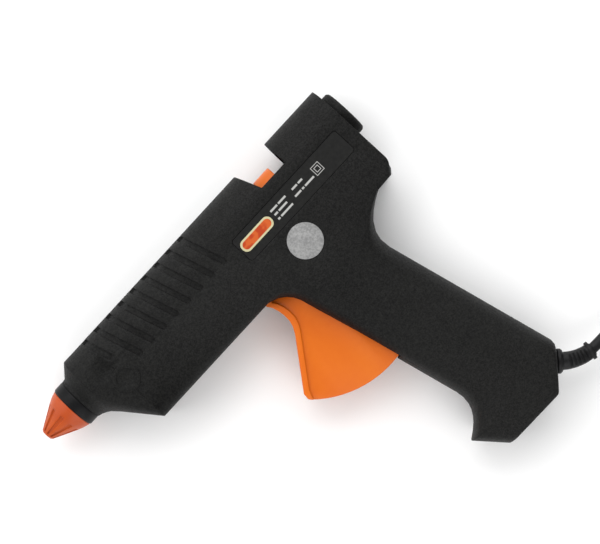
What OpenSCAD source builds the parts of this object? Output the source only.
// Hot-melt glue gun for 11 mm sticks, lying on its right side.
// Gun axes used by the modules: X runs from the nozzle tip to the stick inlet, Y points away
// from the handle, Z is the thickness, and the stick's axis is the line Y = 0, Z = 0.

/* [Overall] */
// Length from the nozzle tip to the rear face of the inlet ring
gun_len = 195; // [160:1:240]
// Distance from the stick's axis down to the butt of the handle
handle_drop = 152.6; // [124:0.1:185]
// Radius of the rounded barrel, which is half the thickness of the body
barrel_r = 16.3; // [15.2:0.1:20]
// Distance from the stick's axis down to the underside of the barrel
barrel_depth = 32.6; // [31:0.1:36]

/* [Casing] */
// Wall thickness of the two casing halves
wall = 2.5; // [1.9:0.1:3.2]
// Number of grip grooves on the barrel
groove_count = 9; // [3:1:10]
// Width of one groove
groove_w = 2.6; // [1.6:0.1:3.4]
// Depth of the grooves
groove_depth = 1.2; // [0.5:0.1:1.5]
// Radius of the casing screws
screw_r = 1.5; // [1.2:0.1:1.8]

/* [Glue stick] */
// Diameter of the glue stick
stick_d = 11.2; // [9.4:0.1:13]
// Radial room around the stick in the inlet ring
stick_gap = 0.4; // [0.2:0.1:0.8]

/* [Trigger] */
// Width of the trigger's finger lip
trigger_w = 16; // [13:0.1:19]
// Angle through which the trigger is squeezed, degrees
trigger_travel = 32; // [20:1:34]
// Radius of the trigger's pivot pin
trigger_pin_r = 2; // [1.5:0.1:2.4]
// Radial running clearance of the pivots
pivot_gap = 0.05; // [0.02:0.01:0.1]
// Clearance between parts that slide past each other
slide_gap = 0.35; // [0.3:0.05:0.5]

/* [Cord] */
// Diameter of the mains cord
cord_d = 5; // [4.4:0.1:5.4]
// Turns of the coil stacked on each other
coil_layers = 3; // [1:1:4]
// Radius of the innermost turn of the coil
coil_r = 21.5; // [20:0.5:26]
// Turns of the coil side by side
coil_rows = 3; // [1:1:4]
// Thickness of the strap that ties the coil
tie_t = 0.8; // [0.5:0.1:1.2]

/* [Plug] */
// Radius of the plug pins
plug_pin_r = 2; // [1.5:0.1:2.4]
// Free length of the plug pins
plug_pin_len = 19; // [15:0.5:22]
// Distance between the plug pins
plug_pitch = 18.6; // [17:0.1:19.5]

/* [Hidden] */
$fn = 48;
eps = 0.01;
cut = 1;        // how far a cutting tool runs past the face it cuts
seat = 0.02;    // room between two pieces of one body that touch all round

// Colours
charcoal = [0.16, 0.16, 0.17];
black = [0.07, 0.07, 0.08];
orange = [0.95, 0.47, 0.1];
steel = [0.7, 0.71, 0.73];
brass = [0.8, 0.62, 0.3];
alloy = [0.72, 0.73, 0.75];
silicone = [0.75, 0.3, 0.22];
ceramic = [0.88, 0.87, 0.82];
pale = [0.66, 0.67, 0.67];

// Front end, measured from the nozzle tip
cover_end = 16.5;       // rear face of the nozzle cover
cover_r = 10.5;         // its widest radius
collar_r = 10.9;
nose_x = 21.7;          // front face of the casings
nose_top = 28.8;        // where the barrel reaches its full radius
chin_x = 29.9;          // where the sloping chin starts, and how low it is there
chin_y = 16.8;
keel_x = 42.3;          // where the chin meets the underside
edge_r = 5;             // rounding along the barrel's lower edges
deep_x = keel_x + 1.2;  // where the barrel's deep hollow starts, behind the chin's wall
chin_room = 20.6;       // depth of the hollow in front of it

// Rear end, measured back from the inlet ring's face
ring_flange = 4.2;
ring_r = 11.2;
rear_x = gun_len - ring_flange;
shift = gun_len - 195;              // what a longer barrel moves back
window_front = 144.4 + shift;       // window between the two humps, along its floor
window_rear = 159.4 + shift;
window_y = 3.6;
hump_lean = 4.5;                    // lean of the front hump's rear face
inlet_r = stick_d / 2 + stick_gap;

// Handle, as heights above the butt
lean = tan(12.66);                  // how far it runs back for each mm down
drop = handle_drop - 152.6;         // what a longer handle adds
neck_y = -53.2;
front_neck = 121.4 + shift;         // front and back edge of the neck
back_neck = 163.35 + shift;
fillet_r = 10;                      // between the barrel's underside and the handle's front
heel_y = -139.6 - drop;             // tip of the flared heel
heel_out = 15.7;
heel_rise = 21.6;
heel_toe = 7.7;                     // how far the toe draws back below the tip
chamfer_y = -137.5 - drop;          // where the rear corner's chamfer starts
seat_y = -34.4;                     // underside of the body behind the handle
front_edge = 6;                     // rounding of the handle's front and back edges
back_edge = 9;

// Trigger and feed
pivot = [126.2 + shift, -41.6];
trigger_r = 48.8;                   // radius of its lower edge about the pivot
arm = 21;                           // pivot to drive pin
half_travel = trigger_travel / 2;
lever_arm = 10;                     // grip pin to drive pin
lever_turn = 8;                     // turn of the grip lever while the trigger is squeezed
drive = [pivot[0] + arm * sin(half_travel), pivot[1] + arm * cos(half_travel)];
grip = [drive[0], drive[1] + lever_arm];
stroke = 2 * arm * sin(half_travel) - lever_arm * sin(lever_turn);
plate_half = trigger_w / 2 - 1.8;   // half thickness of the trigger's web
slot_half = trigger_w / 2 + 0.4;
small_pin_r = 1.5;
lever_half = 4.4;
fork_in = lever_half + slide_gap;   // inner face of the trigger's fork arms
fork_out = trigger_w / 2 - 0.5;
cheek_in = stick_d / 2 + 0.9;       // inner and outer face of the carriage's cheeks
cheek_t = 2;
rail_t = 2.6;
guide_r = stick_d / 2 + 0.5;
guide_wall = 2.1;
carriage_rear = 152.8 + shift;
carriage_front = 119 + shift;
ring_depth = 9.5;
rail_y = [-4, 0];

// Melt chamber
chamber_r = 8.3;
neck_end = 25;
shank_end = 22.4;
sleeve_end = carriage_front - stroke - 8;
sleeve_len = 17;
sleeve_wall = 2.6;
spigot_end = sleeve_end - 9;
spigot_wall = 1.3;
chamber_end = sleeve_end - sleeve_len;
melt_r = stick_d / 2 + 0.4;
orifice_r = 1.8;
ball_r = 2.5;
ball_gap = 0.05;
ball_x = shank_end - sqrt(ball_r * ball_r - orifice_r * orifice_r) - ball_gap;
ball_room = ball_r + 0.4;
spring_seat = 14.5;
block_x = [40, chamber_end - 12];
block_half = 7;
block_y = -18;
pocket_half = 5;
pocket_y = [-16.4, -9.6];

// Label, badge and disc
label_x = [117.8 + shift, 184.3 + shift];
label_y = [-15.2, -2.5];
label_depth = 0.6;
label_t = 0.4;
badge_x = [118.9 + shift, 137.4 + shift];
badge_y = [-11.4, -5.7];
disc_pos = [140.3 + shift, -26];
disc_r = 8.1;
disc_depth = 0.8;

// Cord exit on the chamfered corner
exit_pos = [176.3 + shift + lean * drop, -143.5 - drop];
exit_turn = -45;
guard_start = 2.4;                  // length of its collar outside the casing
guard_len = 14.5;
guard_bend = 35;
guard_r = [4.1, 3.6];
guard_base_r = 5.6;
guard_droop = 3;
guard_slots = 5;
bend_r = guard_len / (guard_bend * PI / 180);

// Row placement: origin at the bottom centre of the gun's box
row_shift = [-gun_len / 2, (handle_drop - barrel_r) / 2, barrel_r];

// Points of the free cord, in row axes: from the guard to the coil, and from the coil to the plug
lead_route = [[99.5, -84, 11.8], [104.5, -84, 10.2], [110, -83.5, 8.7], [115, -82.5, 7.3],
    [120, -81.5, 6], [124.5, -79.5, 4.9], [129.5, -77.5, 4], [134, -74.5, 3.5], [138, -71.5, 3.3],
    [142, -68, 3.3], [147, -64, 3.3]];
end_route = [[170, -122, 13.3], [163, -122.5, 13.3], [156, -122.5, 12.8], [149, -123, 11.2],
    [142, -124, 9.2], [135, -125.5, 7.5], [128, -127, 6.85]];
coil_pos = [163, -91];

// Limits a value to the range from 0 to 1
function share(v) = v < 0 ? 0 : v > 1 ? 1 : v;

// ---------------------------------------------------------------- placement and shape helpers

// Puts gun axes into the row's frame
module place() {
    translate(row_shift) children();
}

// Extrudes a section drawn in (Y, Z) along X
module along_x(x0, x1) {
    translate([x0, 0, 0]) rotate([90, 0, 90]) linear_extrude(x1 - x0) children();
}

// Extrudes a side outline drawn in (X, Y) from z0 to z1
module slab(z0, z1) {
    translate([0, 0, z0]) linear_extrude(z1 - z0) children();
}

// Turned piece about the stick's axis, from [x, r] points
module turned(points) {
    rotate([0, 90, 0]) rotate_extrude() polygon([for (p = points) [p[1], p[0]]]);
}

// Cylinder along X
module rod_x(x0, x1, r) {
    translate([x0, 0, 0]) rotate([0, 90, 0]) cylinder(h = x1 - x0, r = r);
}

// Cylinder along Z at a point of the side view
module rod_z(p, z0, z1, r) {
    translate([p[0], p[1], z0]) cylinder(h = z1 - z0, r = r);
}

// Box between two corners
module block(a, b) {
    translate(a) cube(b - a);
}

// Rectangle with round corners between two corners
module round_rect(a, b, r) {
    translate([a[0] + r, a[1]]) square([b[0] - a[0] - 2 * r, b[1] - a[1]]);
    translate([a[0], a[1] + r]) square([b[0] - a[0], b[1] - a[1] - 2 * r]);
    for (x = [a[0] + r, b[0] - r], y = [a[1] + r, b[1] - r]) translate([x, y]) circle(r);
}

// Skin through a list of closed sections with the same number of points, each one running
// right-handed about the way the list goes
module loft(sections) {
    n = len(sections[0]);
    m = len(sections);
    points = [for (s = sections) each s];
    sides = [for (j = [0 : m - 2], i = [0 : n - 1])
        each [[j * n + i, (j + 1) * n + (i + 1) % n, j * n + (i + 1) % n],
              [j * n + i, (j + 1) * n + i, (j + 1) * n + (i + 1) % n]]];
    polyhedron(points, concat([[for (i = [0 : n - 1]) i]], sides,
        [[for (i = [n - 1 : -1 : 0]) (m - 1) * n + i]]), convexity = 6);
}

function unit(v) = v / norm(v);

// Smooth curve through a route's points, steps samples for each span
function spline_at(p, i, t) =
    let (a = p[max(i - 1, 0)], b = p[i], c = p[i + 1], d = p[min(i + 2, len(p) - 1)])
    0.5 * (2 * b + (c - a) * t + (2 * a - 5 * b + 4 * c - d) * t * t
        + (3 * b - a - 3 * c + d) * t * t * t);
function spline(p, steps) = concat(
    [for (i = [0 : len(p) - 2], k = [0 : steps - 1]) spline_at(p, i, k / steps)], [p[len(p) - 1]]);

// Frames that roll as little as possible along a path
function heading(p, i) = unit(p[min(i + 1, len(p) - 1)] - p[max(i - 1, 0)]);
function side_frames(p, i, last) = i >= len(p) ? [] :
    let (h = heading(p, i), s = unit(last - (last * h) * h)) concat([s], side_frames(p, i + 1, s));

// Tube along a path, with one radius for each point
module tube(path, radii, sides = 8) {
    frames = side_frames(path, 0, abs(heading(path, 0)[2]) > 0.9 ? [1, 0, 0] : [0, 0, 1]);
    loft([for (i = [0 : len(path) - 1])
        let (s = frames[i], u = cross(heading(path, i), s))
        [for (k = [0 : sides - 1])
            path[i] + radii[i] * (cos(360 * k / sides) * s + sin(360 * k / sides) * u)]]);
}

module even_tube(path, r, sides = 8) {
    tube(path, [for (p = path) r], sides);
}

// ---------------------------------------------------------------- outer form of the body

// Section of the barrel in (Y, Z): round top, flat sides, rounded lower edges
module barrel_section(r, depth, corner) {
    circle(r, $fn = 96);
    translate([corner - depth, -r]) square([depth - corner, 2 * r]);
    translate([-depth, corner - r]) square([depth, 2 * (r - corner)]);
    for (s = [-1, 1]) translate([corner - depth, s * (r - corner)]) circle(corner);
}

// The same section on the +Z side as points, for the nose's skin
function half_ring(r, depth, corner, n = 8) = concat(
    [for (i = [0 : n]) [r * cos(90 * i / n), r * sin(90 * i / n)]],
    [for (i = [0 : n]) [corner - depth - corner * sin(90 * i / n),
                        r - corner + corner * cos(90 * i / n)]],
    [[-depth, 0]]);

// Stations of the nose, as [x, radius, depth, corner], which end a small step inside the barrel
step = 0.03;
nose = [[nose_x, collar_r, 11.1, 10.8], [23.5, 11, 11.6, 11], [25.4, 12.9, 12.6, 12],
    [27.2, 14.7, 13.8, 12.9], [nose_top, barrel_r, 15.6, 13.5], [chin_x, barrel_r, chin_y, 13.4],
    [keel_x, barrel_r - step, barrel_depth - step, edge_r],
    [keel_x + 1, barrel_r - step, barrel_depth - step, edge_r]];

module nose_skin() {
    loft([for (s = nose) [for (p = half_ring(s[1], s[2], s[3])) [s[0], p[0], p[1]]]]);
}

// Front and back edge of the handle at height y
function round_in(d, r) = d >= r ? 0 : r - sqrt(r * r - (r - d) * (r - d));
function heel(y) = y > heel_y ? heel_out * pow(share((heel_y + heel_rise - y) / heel_rise), 2.7)
    : heel_out - heel_toe * (heel_y - y) / (handle_drop + heel_y);
function front_x(y) = front_neck + lean * (neck_y - y)
    - round_in(max(-barrel_depth - y, 0), fillet_r) - heel(y);
function flare(y) = y < neck_y ? 0 : 15.5 * pow(share((y - neck_y) / (seat_y - neck_y)), 2.6);
function back_line(y) = back_neck + lean * max(neck_y - y, 0) + flare(y);
function soft_min(a, b, k) = min(a, b) - pow(max(k - abs(a - b), 0), 2) / (4 * k);
function back_x(y, g) = y > seat_y + g + eps
    ? rear_x - g - round_in(min(y - seat_y - g, 8), 8) * 0.55
    : soft_min(back_line(y) - g, back_line(chamfer_y) + y - chamfer_y - 1.5 * g, 3.4);

// Half thickness of the handle: flat above the neck, a soft crest lower down
function crest_flat(y) = y > -32 ? 60 : 1.2 + 22 * pow(share((y + 62) / 30), 1.6);
function crest_at(y) = front_x(y) + heel(y) + 21;
function edge_drop(y) = 3.4 * share((-36 - y) / 30);
function butt_round(y, g) = 1.6 * (1 - sqrt(1 - pow(1 - share((y + handle_drop - g) / 3), 2)));
function bulge(u) = u >= 1 ? 1 : sqrt(max(1 - (1 - u) * (1 - u), 0));
function crest_z(x, y, g) = let (away = max(abs(x - crest_at(y)) - crest_flat(y), 0))
    barrel_r - g - butt_round(y, g) - edge_drop(y) * share(away / 18);

// Half section of the handle at height y, inset by g, from its front edge round to the back
function handle_ring(y, g) =
    let (x0 = front_x(y) + g, x1 = back_x(y, g), c = crest_at(y), f = crest_flat(y),
        fe = front_edge,
        be = 2 + (back_edge - 2) * share(min((seat_y - y) / 20, (y - chamfer_y + 6) / 24)),
        fronts = [for (i = [0 : 5]) x0 + fe * (1 - cos(18 * i))],
        backs = [for (i = [5 : -1 : 0]) x1 - be * (1 - cos(18 * i))],
        crest_0 = max(c - f, x0 + fe + 0.4), crest_1 = min(c + f, x1 - be - 0.4),
        xs = concat(fronts, [crest_0, crest_1], backs))
    [for (x = xs) [x, y, crest_z(x, y, g) * bulge((x - x0) / fe) * bulge((x1 - x) / be)]];

heights = concat([-handle_drop, -handle_drop + 0.4, -handle_drop + 1.4, -handle_drop + 3,
    chamfer_y - 4.6],
    [for (v = [0, 0.1, 0.2, 0.3, 0.42, 0.55, 0.72, 0.9]) heel_y + v * heel_rise],
    [for (i = [4 : -1 : 1]) neck_y - 2 + i * (heel_y + heel_rise - neck_y) / 4.4],
    [neck_y - 2, -50, -46, -42, -39, -36.5, seat_y, seat_y + 0.3, seat_y + 2.4, seat_y + 6, -24]);

module handle_skin() {
    loft([for (y = heights) handle_ring(y, 0)]);
}

// Room inside the handle
core_heights = [-handle_drop + wall, -handle_drop + wall + 3, chamfer_y - 1, heel_y + 4, heel_y + 14,
    -100 - drop / 2, -75 - drop / 3, neck_y, -42, -36, seat_y + wall, seat_y + wall + 0.3, -24];
module handle_core() {
    loft([for (y = core_heights) handle_ring(y, wall)]);
}

// One half of the body's outer form, on the +Z side
module half_form() {
    nose_skin();
    intersection() {
        along_x(keel_x + 0.5, rear_x) barrel_section(barrel_r, barrel_depth, edge_r);
        slab(0, barrel_r + cut) round_rect([0, -barrel_depth], [rear_x, barrel_depth], 6);
    }
    handle_skin();
}

module half_core() {
    intersection() {
        union() {
            along_x(deep_x, rear_x - wall)
                barrel_section(barrel_r - wall, barrel_depth - wall, edge_r - 2);
            along_x(keel_x - 4, deep_x + eps)
                barrel_section(barrel_r - wall, chin_room, edge_r - 2);
            rod_x(nose_top + 1, keel_x, barrel_r - wall);
            rod_x(nose_x - cut, nose_top + 1 + eps, collar_r - 1.9);
        }
        slab(-cut, barrel_r + cut) translate([0, -60]) square([gun_len, 120]);
    }
    handle_core();
}

// Window between the humps, as a side outline
module window_outline() {
    polygon([[window_front, window_y], [window_rear, window_y],
        [window_rear, barrel_r + 4], [window_front - hump_lean - 1.5, barrel_r + 4]]);
}

// ---------------------------------------------------------------- casings

groove_first = 41.8;
groove_last = window_front - 41;
groove_pitch = (groove_last - groove_first) / (groove_count - 1);
groove_lean = 16;

module grooves() {
    difference() {
        for (i = [0 : groove_count - 1]) {
            low = i == 0 ? 13.5 : 22.5;
            translate([groove_first + i * groove_pitch, barrel_r - 0.6, 0]) rotate(groove_lean)
                slab(3, barrel_r + cut) {
                    translate([-groove_w / 2, -low]) square([groove_w, low + 3]);
                    translate([0, -low]) circle(groove_w / 2);
                }
        }
        rod_x(20, gun_len, barrel_r - groove_depth);
        slab(-cut, barrel_r - groove_depth) translate([0, -60]) square([400, 60]);
    }
}

// Screw places in the side view
screws = [[47, -26.5], [sleeve_end - 3, -26.8], [182 + shift, -20], [153 + shift, -47],
    [163 + shift + lean * drop, -99 - drop], [141 + shift + lean * drop, -145.5 - drop]];
boss_r = 2 * screw_r + 1.2;

// Cradle ribs for the chamber and the sleeve, as [x, radius of the round seat]
cradles = [[31, chamber_r], [chamber_end - 6, chamber_r], [sleeve_end - 5, melt_r + sleeve_wall]];

module fittings() {
    for (c = cradles) intersection() {
        along_x(c[0] - 1, c[0] + 1) barrel_section(barrel_r - wall + eps, barrel_depth - wall, 3);
        difference() {
            slab(0, barrel_r) translate([0, -60]) square([400, 100]);
            rod_x(0, gun_len, c[1] + seat);
            slab(-cut, block_half + 2) translate([0, -60]) square([400, 60]);
        }
    }
    for (p = screws) rod_z(p, 0, barrel_r - wall + 0.6, boss_r);
    rod_z(pivot, trigger_w / 2 + slide_gap, barrel_r - wall + 0.6, trigger_pin_r + 2.2);
    for (y = [rail_y[0] - slide_gap - 1.6, rail_y[1] + slide_gap])
        block([carriage_front - stroke - 3, y, cheek_in + cheek_t + slide_gap],
            [carriage_rear + 2, y + 1.6, barrel_r - wall + 0.4]);
}

// Mouth for the trigger: the sweep of its lip, and the corner above it
module trigger_mouth() {
    slab(-slot_half, slot_half) {
        intersection() {
            translate(pivot) circle(trigger_r + 0.6, $fn = 96);
            polygon([pivot, pivot + [-120, 0], pivot + [-120, -120], pivot + [60, -120]]);
        }
        translate([pivot[0] - 22, pivot[1] - 4]) square([24, 18]);
    }
}

// Hole for the inlet ring, mouth for the collar, socket for the cord guard
module ports() {
    rod_x(rear_x - wall - cut, rear_x + cut, ring_r - 1.6 + seat);
    rod_x(nose_x - cut, nose_x + 2.4, collar_r - 1.4);
    place_exit() rod_x(-9, 4, guard_base_r - 1.2 + seat);
}

module place_exit() {
    translate([exit_pos[0], exit_pos[1], 0]) rotate(exit_turn) children();
}

module half_casing() {
    difference() {
        union() {
            difference() {
                half_form();
                half_core();
            }
            intersection() {
                fittings();
                half_form();
            }
        }
        slab(-cut, barrel_r + cut) window_outline();
        grooves();
        trigger_mouth();
        ports();
        rod_z(pivot, -cut, barrel_r - wall, trigger_pin_r + seat);
    }
}

module spring_post() {
    rod_z(post, -barrel_r + wall - 0.6, 3, 1.8);
}

module left_casing() {
    color(charcoal) place() difference() {
        union() {
            half_casing();
            mark_pad();
        }
        slab(barrel_r - label_depth, barrel_r + cut)
            round_rect([label_x[0], label_y[0]], [label_x[1], label_y[1]], 1.6);
        rod_z(disc_pos, barrel_r - disc_depth, barrel_r + cut, disc_r + seat);
        for (p = screws) rod_z(p, -cut, barrel_r - wall - 3, screw_r - 0.2);
    }
}

// Plain raised ring near the nose
module mark_pad() {
    difference() {
        rod_z([43.5, -9.2], barrel_r - 1, barrel_r + 0.5, 6.2);
        rod_z([43.5, -9.2], barrel_r, barrel_r + cut, 4.4);
    }
}

module right_casing() {
    color(charcoal) place() difference() {
        union() {
            mirror([0, 0, 1]) half_casing();
            spring_post();
        }
        for (p = screws) {
            rod_z(p, -barrel_r - cut, cut, screw_r + 0.15);
            rod_z(p, -barrel_r - cut, -barrel_r + 4, 2 * screw_r + 0.2);
        }
    }
}

module casing_screws() {
    color(steel) place() for (p = screws) {
        difference() {
            rod_z(p, -barrel_r + 1.4, -barrel_r + 4 - seat, 2 * screw_r);
            for (a = [0, 90]) translate([p[0], p[1], -barrel_r + 1.4]) rotate(a)
                cube([3.4, 0.7, 2.4], center = true);
        }
        rod_z(p, -barrel_r + 4 - 2 * seat, barrel_r - wall - 4.5, screw_r - 0.2 - seat);
    }
}

// ---------------------------------------------------------------- nozzle and valve

module nose_collar() {
    color(black) place() turned([[cover_end, chamber_r + seat], [cover_end, collar_r - 0.5],
        [cover_end + 0.5, collar_r], [nose_x - seat, collar_r], [nose_x - seat, collar_r - 1.4 - seat],
        [nose_x + 2.2, collar_r - 1.4 - seat], [nose_x + 2.2, chamber_r + seat]]);
}

// Slot in the cover, which widens away from the tip
slots = 10;
slot_start = 2.6;
slot_slope = 28;
module slot_wedge() {
    translate([0, 0, 2.9]) linear_extrude(4)
        polygon([[0, -0.45], [11.6, -0.9], [11.6, 0.9], [0, 0.45]]);
}

module nozzle_cover() {
    color(orange) place() difference() {
        turned([[0, 1.9], [0, 2.4], [0.6, 3.1], [6, 5.9], [11, 8.5], [13.2, 9.5], [15, 10.1],
            [cover_end, cover_r], [cover_end, 5.3], [9.4, 5.3], [1.2, 1.9]]);
        for (a = [0 : 360 / slots : 359]) rotate([a, 0, 0]) translate([slot_start, 0, 0])
            rotate([0, -slot_slope, 0]) slot_wedge();
    }
}

module nozzle() {
    color(brass) place() difference() {
        turned([[0.3, 0], [0.3, 1.2], [0.6, 1.7], [1.3, 1.8], [9.5, 5.2], [16.4, 5.2],
            [16.4, 4.6], [shank_end - seat, 4.6], [shank_end - seat, 0]]);
        rod_x(0, shank_end, 0.9);
        rod_x(spring_seat - 0.6, shank_end + cut, ball_room);
    }
}

module valve_ball() {
    color(steel) place() translate([ball_x, 0, 0]) sphere(r = ball_r);
}

module valve_spring() {
    x0 = spring_seat;
    x1 = ball_x - ball_r - 0.1;
    color(steel) place() even_tube([for (i = [0 : 36])
        [x0 + (x1 - x0) * i / 36, 1.9 * cos(30 * i), 1.9 * sin(30 * i)]], 0.25, 6);
}

module melt_chamber() {
    color(alloy) place() difference() {
        union() {
            rod_x(cover_end + seat, chamber_end, chamber_r);
            rod_x(chamber_end - eps, spigot_end, melt_r + spigot_wall);
            block([block_x[0], block_y, -block_half], [block_x[1], -4, block_half]);
            for (x = [block_x[0] + 4 : 9 : block_x[1] - 2])
                along_x(x, x + 1.4) circle(chamber_r + 1.6);
        }
        rod_x(cover_end, shank_end, 4.6 + seat);
        rod_x(shank_end - eps, neck_end + eps, orifice_r);
        turned([[neck_end, 0], [neck_end, 3], [neck_end + 6, melt_r - 0.6], [spigot_end + cut, melt_r],
            [spigot_end + cut, 0]]);
        block([block_x[0] - cut, pocket_y[0], -pocket_half], [block_x[1] + cut, pocket_y[1], pocket_half]);
    }
}

module heater_element() {
    color(ceramic) place()
        block([block_x[0] + 3, pocket_y[0] + 1.4, -pocket_half + 0.5],
            [block_x[1] - 3, pocket_y[1], pocket_half - 0.5]);
}

// Bowed spring plate that presses the heater against the chamber
module heater_clip() {
    mid = (block_x[0] + block_x[1]) / 2;
    end = (block_x[1] - block_x[0]) / 2 - 1;
    color(steel) place() slab(-pocket_half + 0.8, pocket_half - 0.8)
        polygon([[mid - end, pocket_y[0]], [mid - end + 6, pocket_y[0]], [mid - 6, pocket_y[0] + 0.8],
            [mid + 6, pocket_y[0] + 0.8], [mid + end - 6, pocket_y[0]], [mid + end, pocket_y[0]],
            [mid + end, pocket_y[0] + 0.5], [mid + end - 5.8, pocket_y[0] + 0.5],
            [mid + 6, pocket_y[0] + 1.4], [mid - 6, pocket_y[0] + 1.4],
            [mid - end + 5.8, pocket_y[0] + 0.5], [mid - end, pocket_y[0] + 0.5]]);
}

fuse_x = [block_x[1] + 4, block_x[1] + 14];
fuse_pos = [-22.5, 6.5];
module thermal_fuse() {
    color(ceramic) place() translate([0, fuse_pos[0], fuse_pos[1]]) {
        rod_x(fuse_x[0], fuse_x[1], 2);
        rod_x(fuse_x[1] - eps, fuse_x[1] + 1.5, 1.3);
    }
}

module feed_sleeve() {
    r = melt_r + spigot_wall;
    color(silicone) place() turned([[chamber_end, r + seat], [chamber_end, r + sleeve_wall],
        [sleeve_end - 7, r + sleeve_wall], [sleeve_end - 6, melt_r + sleeve_wall],
        [sleeve_end - 1.5, melt_r + sleeve_wall], [sleeve_end - 1.5, melt_r + sleeve_wall + 1.2],
        [sleeve_end, melt_r + sleeve_wall + 1.2], [sleeve_end, melt_r + 1.4],
        [sleeve_end - 4, melt_r - 0.2], [spigot_end + seat, melt_r - 0.2],
        [spigot_end + seat, r + seat]]);
}

module sleeve_clamp() {
    r = melt_r + spigot_wall + sleeve_wall;
    color(steel) place() {
        turned([[chamber_end + 2, r + seat], [chamber_end + 2, r + 0.8], [chamber_end + 6, r + 0.8],
            [chamber_end + 6, r + seat]]);
        for (s = [-1, 1])
            block([chamber_end + 2, -r - 4.4, s * 1 - 0.4], [chamber_end + 6, -r - 0.4, s * 1 + 0.4]);
    }
}

// ---------------------------------------------------------------- feed

module feed_carriage() {
    out = cheek_in + cheek_t;
    ring_x = carriage_rear - ring_depth;
    color(orange) place() difference() {
        union() {
            rod_x(ring_x, carriage_rear, guide_r + guide_wall);
            rod_x(carriage_front, carriage_front + 3, guide_r + guide_wall);
            for (s = [-1, 1]) {
                zs = s > 0 ? [cheek_in, out] : [-out, -cheek_in];
                slab(zs[0], zs[1]) polygon([[carriage_front, 3], [carriage_rear - 1, 3],
                    [carriage_rear - 1, -7], [grip[0] + 6, grip[1] - 3.5],
                    [grip[0] - 4, grip[1] - 3.5], [carriage_front, -7]]);
                rail = s > 0 ? [out - eps, out + rail_t] : [-out - rail_t, -out + eps];
                block([carriage_front, rail_y[0], rail[0]], [carriage_rear - 2, rail_y[1], rail[1]]);
            }
            block([ring_x, -guide_r - guide_wall, -out], [carriage_rear - 1, 2, out]);
            block([ring_x + 1, hook[1] - 1.6, -1.2], [hook[0] + 1, -guide_r - guide_wall + eps, 1.2]);
            block([carriage_front, -7, -out], [carriage_front + 3, 2, out]);
        }
        rod_x(carriage_front - cut, carriage_rear + cut, guide_r);
        translate([grip[0], grip[1], -20]) cylinder(h = 40, r = small_pin_r + seat);
    }
}

module grip_lever() {
    color(steel) place() difference() {
        slab(-lever_half, lever_half) {
            translate(grip) circle(3.4);
            translate(drive) circle(3);
            polygon([grip + [-3.3, 0], drive + [-2.9, 0], drive + [2.9, 0], grip + [3.3, 0]]);
            polygon([grip + [3.3, 1], grip + [-2, 3.5], grip + [-4, 5.3], grip + [-5.6, 5.2],
                grip + [-5.6, 3.6], grip + [-3.3, -1]]);
        }
        rod_z(grip, -10, 10, small_pin_r + pivot_gap);
        rod_z(drive, -10, 10, small_pin_r + seat);
    }
}

module grip_pin() {
    out = cheek_in + cheek_t;
    color(steel) place() rod_z(grip, -out, out, small_pin_r);
}

module drive_pin() {
    color(steel) place() rod_z(drive, -fork_out, fork_out, small_pin_r);
}

// ---------------------------------------------------------------- trigger

// Side outline of the trigger, from the top of its lip round to the hub
front_top = [107.6 + shift, -30.2];
waist = [[107.6, -33.1], [108.9, -35.4], [109.7, -38.4], [110, -41.4], [109.8, -44.6], [108.9, -47.4],
    [107.2, -50.2]];
lip_low = [90.4, -71];
lip_tip = [90, -74];
function swept(a, r) = pivot + r * [cos(a), sin(a)];
front_line = concat([front_top], [for (p = waist) p + [shift, 0]], [lip_low + [shift, 0]]);

module trigger_outline() {
    polygon(concat(front_line, [lip_tip + [shift, 0]],
        [for (a = [-136 : 4 : -80]) swept(a, trigger_r)],
        [pivot + [4, -6], pivot + [4, 6], pivot + [-6, 9]]));
}

// Band that follows the trigger's front edge
module lip_outline() {
    intersection() {
        trigger_outline();
        polygon(concat([for (p = front_line) p + [-2, 2]], [lip_tip + [shift - 4, -3]],
            [lip_tip + [shift + 0.6, -4]],
            [for (i = [len(front_line) - 1 : -1 : 0]) front_line[i] + [3, -0.6]]));
    }
}

module trigger() {
    half = trigger_w / 2;
    color(orange) place() difference() {
        union() {
            slab(-plate_half, plate_half) trigger_outline();
            slab(-half, half) lip_outline();
            slab(-half + 0.5, half - 0.5) translate(pivot) circle(5.2);
            difference() {
                slab(-fork_out, fork_out) fork_outline();
                slab(-fork_in, fork_in) translate(pivot) rotate(-half_travel)
                    translate([-6, 6]) square([12, 30]);
            }
        }
        rod_z(pivot, -20, 20, trigger_pin_r + pivot_gap);
        slab(-20, 20) translate(pivot) rotate(-half_travel)
            round_rect([-small_pin_r - slide_gap, arm - small_pin_r - 0.9],
                [small_pin_r + slide_gap, arm + small_pin_r + 0.9], small_pin_r + slide_gap - eps);
        slab(-plate_half + 2, plate_half - 2) intersection() {
            translate(pivot) difference() {
                circle(trigger_r - 2.4);
                circle(11);
            }
            translate([shift, 0]) polygon([[113, -52], [96.5, -72], [104, -90], [140, -100], [129, -52]]);
        }
    }
}

module fork_outline() {
    translate(pivot) rotate(-half_travel) {
        translate([0, arm]) circle(4.4);
        translate([-4.4, 0]) square([8.8, arm]);
    }
}

module trigger_pin() {
    half = barrel_r - wall - 0.4;
    color(steel) place() rod_z(pivot, -half, half, trigger_pin_r);
}

// Tension spring from the carriage back to a post on the right casing
hook = [carriage_rear - 5, -12.2];
post = [176 + shift, -12.2];
module return_spring() {
    turns = 12;
    r = 2.6;
    x0 = hook[0] + 5;
    x1 = post[0] - 5;
    n = turns * 8;
    color(steel) place() translate([0, hook[1], 0]) even_tube(concat([[hook[0] + 1.4, 0, 0], [x0 - 2, 0, 0]],
        [for (i = [0 : n]) [x0 + (x1 - x0) * i / n, r * cos(45 * i), r * sin(45 * i)]],
        [[x1 + 2, 0, 0], [post[0] - 2.2, 0, 0]]), 0.35, 6);
}

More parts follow.
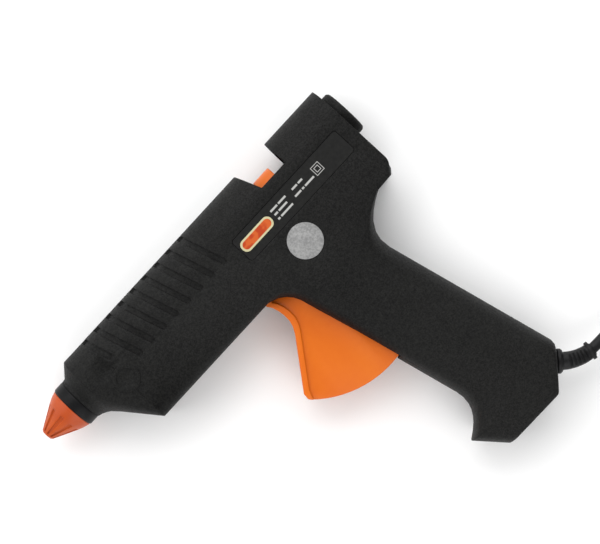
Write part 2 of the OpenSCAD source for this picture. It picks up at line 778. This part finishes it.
// ---------------------------------------------------------------- rear and side trim

module inlet_ring() {
    color(black) place()
        turned([[rear_x - 9, inlet_r], [rear_x - 9, ring_r - 1.6], [rear_x, ring_r - 1.6],
            [rear_x, ring_r], [gun_len - 1, ring_r], [gun_len, ring_r - 1],
            [gun_len, inlet_r + 1.2], [gun_len - 1.2, inlet_r]]);
}

module rating_label() {
    z = barrel_r - label_depth;
    color(black) place() slab(z, z + label_t) round_rect([label_x[0] + 0.2, label_y[0] + 0.2],
        [label_x[1] - 0.2, label_y[1] - 0.2], 1.4);
}

module badge() {
    z = barrel_r - label_depth + label_t;
    color(ceramic) place() slab(z, z + 0.3)
        round_rect([badge_x[0], badge_y[0]], [badge_x[1], badge_y[1]], 2.6);
}

module side_disc() {
    color(pale) place() rod_z(disc_pos, barrel_r - disc_depth, barrel_r + 0.05, disc_r);
}

// ---------------------------------------------------------------- wiring in the handle

block_pos = [158 + shift + lean * drop, -117 - drop];
module terminal_block() {
    color(ceramic) place() translate([block_pos[0], block_pos[1], 0]) rotate(12.66) difference() {
        block([-5, -7, -9], [5, 7, 9]);
        for (z = [-4.5, 4.5]) {
            translate([0, -8, z]) rotate([-90, 0, 0]) cylinder(h = 16, r = 1.5);
            for (y = [-4, 4]) translate([-6, y, z]) rotate([0, 90, 0]) cylinder(h = 6, r = 1.4);
        }
    }
}

module terminal_screws() {
    color(brass) place() translate([block_pos[0], block_pos[1], 0]) rotate(12.66)
        for (z = [-4.5, 4.5], y = [-4, 4]) translate([-4.4, y, z]) rotate([0, 90, 0])
            cylinder(h = 3, r = 1.4 - seat);
}

clamp_at = -13;      // place of the cord clamp inside the exit, along the cord
module cord_clamp() {
    color(black) place() place_exit() difference() {
        block([clamp_at - 3, -7.5, cord_d / 2 + seat], [clamp_at + 3, 7.5, cord_d / 2 + 2.5]);
        for (y = [-5.4, 5.4]) translate([clamp_at, y, 0]) cylinder(h = 10, r = 1.2 + seat);
    }
}

module clamp_screws() {
    color(steel) place() place_exit() for (y = [-5.4, 5.4]) translate([clamp_at, y, 0]) {
        translate([0, 0, -6]) cylinder(h = cord_d / 2 + 8.5, r = 1.2);
        translate([0, 0, cord_d / 2 + 2.5 + seat]) cylinder(h = 1.6, r = 2.2);
    }
}

module cord_tail() {
    color(black) place() place_exit() rod_x(-20, -4 - seat, cord_d / 2);
}

wire_r = 0.8;
core_gap = 1.25;
core_start = -20.3;
function exit_point(d, z) = [exit_pos[0] + d * cos(exit_turn), exit_pos[1] + d * sin(exit_turn), z];
function at_block(d, z) = [block_pos[0] - d * sin(12.66), block_pos[1] + d * cos(12.66), z];

// Core from the cord to the terminal block, s is the side of the parting plane that it runs on
function core_route(s) = [exit_point(core_start, s * core_gap), exit_point(-24, s * 3),
    at_block(-11, s * 4.4), at_block(-4, s * 4.5)];

// Run from the terminal block up the handle and forward past the trigger and the feed
function long_route(s) = [at_block(4, s * 4.5), at_block(10, s * 5),
    [156 + shift + lean * drop, -88 - drop, s * 9.6],
    [153 + shift + lean * drop / 2, -70 - drop / 2, s * 10.4], [147 + shift, -57, s * 10.6],
    [143 + shift, -46, s * 10.8], [139 + shift, -34, s * 11], [130 + shift, -23.5, s * 11],
    [118 + shift, -19.5, s * 10.8],
    [sleeve_end + 5, -18.3, s * 8], [sleeve_end - 6, -18.3, s * 8]];

module live_wire() {
    y = fuse_pos[0];
    z = fuse_pos[1];
    color(silicone) place() {
        even_tube(spline(core_route(1), 4), wire_r, 6);
        even_tube(spline(concat(long_route(1), [[fuse_x[1] + 5, y + 0.6, z], [fuse_x[1] + 1.8, y, z]]), 3),
            wire_r, 6);
        even_tube(spline([[fuse_x[0] - 0.3, y, z], [fuse_x[0] - 2, y + 1.4, z - 0.5],
            [block_x[1] + 0.9, -15.6, 3.6], [block_x[1] - 0.8, -12.4, 3], [block_x[1] - 2.8, -12, 3]], 3),
            wire_r, 6);
    }
}

module neutral_wire() {
    color("royalblue") place() {
        even_tube(spline(core_route(-1), 4), wire_r, 6);
        even_tube(spline(concat(long_route(-1), [[block_x[1] + 14, -19.5, -7], [block_x[1] + 6, -18, -5],
            [block_x[1] + 1.4, -13.6, -3.4], [block_x[1] - 0.8, -12, -3], [block_x[1] - 2.8, -12, -3]]), 3),
            wire_r, 6);
    }
}

// ---------------------------------------------------------------- cord, guard and plug

// Centre line of the guard: an arc that bends towards the barrel and sinks a little
function guard_point(t) = let (a = guard_bend * t)
    exit_along(guard_start + bend_r * sin(a), bend_r * (1 - cos(a)), -guard_droop * t * t);
function exit_along(d, side, z) = [exit_pos[0] + d * cos(exit_turn) - side * sin(exit_turn),
    exit_pos[1] + d * sin(exit_turn) + side * cos(exit_turn), z];

function guard_radius(t) = guard_r[0] + (guard_r[1] - guard_r[0]) * t;
module on_guard(t) {
    translate(guard_point(t)) rotate(exit_turn + guard_bend * t) children();
}

module cord_guard() {
    steps = 12;
    floor_z = cord_d / 2 + 0.15;        // the slots stop above the cord
    color(black) place() difference() {
        union() {
            place_exit() {
                rod_x(-4, 0.4, guard_base_r - 1.2);
                turned([[0.4 - eps, 0], [0.4 - eps, guard_base_r], [guard_start - 0.6, guard_base_r],
                    [guard_start + 0.3, guard_base_r - 0.9], [guard_start + 0.3, 0]]);
            }
            tube([for (i = [0 : steps]) guard_point(i / steps)],
                [for (i = [0 : steps]) guard_radius(i / steps)], 16);
            on_guard(0.96) rod_x(-0.8, 0.8, guard_r[1] + 0.8);
        }
        for (i = [0 : guard_slots - 1], s = [-1, 1]) on_guard(0.27 + 0.13 * i)
            block([-0.45, -6, s > 0 ? floor_z : -8], [0.45, 6, s > 0 ? 8 : -floor_z]);
    }
}

module cord_lead() {
    color(black) even_tube(spline(concat([guard_point(1) + row_shift], lead_route), 2),
        cord_d / 2, 10);
}

coil_in = coil_r - cord_d / 2;
coil_out = coil_in + coil_rows * cord_d;
coil_top = tie_t + coil_layers * cord_d;

module cord_coil() {
    color(black) translate([coil_pos[0], coil_pos[1], 0]) rotate_extrude($fn = 96)
        round_rect([coil_in, tie_t], [coil_out, coil_top], 2);
}

tie_turn = 290;
tie_span = 16;

// Strap round the turns of the coil, with its free end standing off
module coil_tie() {
    color(black) translate([coil_pos[0], coil_pos[1], 0]) rotate(tie_turn) {
        rotate_extrude(angle = tie_span) difference() {
            translate([coil_in - tie_t - seat, 0])
                square([coil_out - coil_in + 2 * (tie_t + seat), coil_top + tie_t + seat]);
            translate([coil_in - seat, tie_t])
                square([coil_out - coil_in + 2 * seat, coil_top - tie_t + seat]);
        }
        rotate_extrude(angle = tie_span) translate([coil_out + tie_t, 5]) square([5, 1]);
    }
}

module cord_end() {
    color(black) even_tube(spline(end_route, 2), cord_d / 2, 10);
}

plug_pos = end_route[len(end_route) - 1];
plug_turn = -168;
module plug_frame() {
    translate(plug_pos) rotate(plug_turn) children();
}

plug_half = 6.85;
module plug_body() {
    color(black) plug_frame() difference() {
        union() {
            translate([14, 0, -plug_half]) linear_extrude(2 * plug_half)
                polygon([[0, -7], [10, -11], [22, -17.6], [25, -17.6], [25, 17.6], [22, 17.6],
                    [10, 11], [0, 7]]);
            rod_x(-6, 14 + eps, 4.4);
        }
        rod_x(-7, 1, cord_d / 2 + 0.1);
    }
}

module plug_pins() {
    color(brass) plug_frame() for (s = [-1, 1]) translate([39, s * plug_pitch / 2, 0])
        rod_x(0, plug_pin_len, plug_pin_r);
}

// ---------------------------------------------------------------- output

left_casing();
right_casing();
casing_screws();
nose_collar();
nozzle_cover();
nozzle();
valve_ball();
valve_spring();
melt_chamber();
heater_element();
heater_clip();
thermal_fuse();
feed_sleeve();
sleeve_clamp();
feed_carriage();
grip_lever();
grip_pin();
drive_pin();
trigger();
trigger_pin();
return_spring();
inlet_ring();
rating_label();
badge();
side_disc();
terminal_block();
terminal_screws();
cord_clamp();
clamp_screws();
live_wire();
neutral_wire();
cord_tail();
cord_guard();
cord_lead();
cord_coil();
coil_tie();
cord_end();
plug_body();
plug_pins();
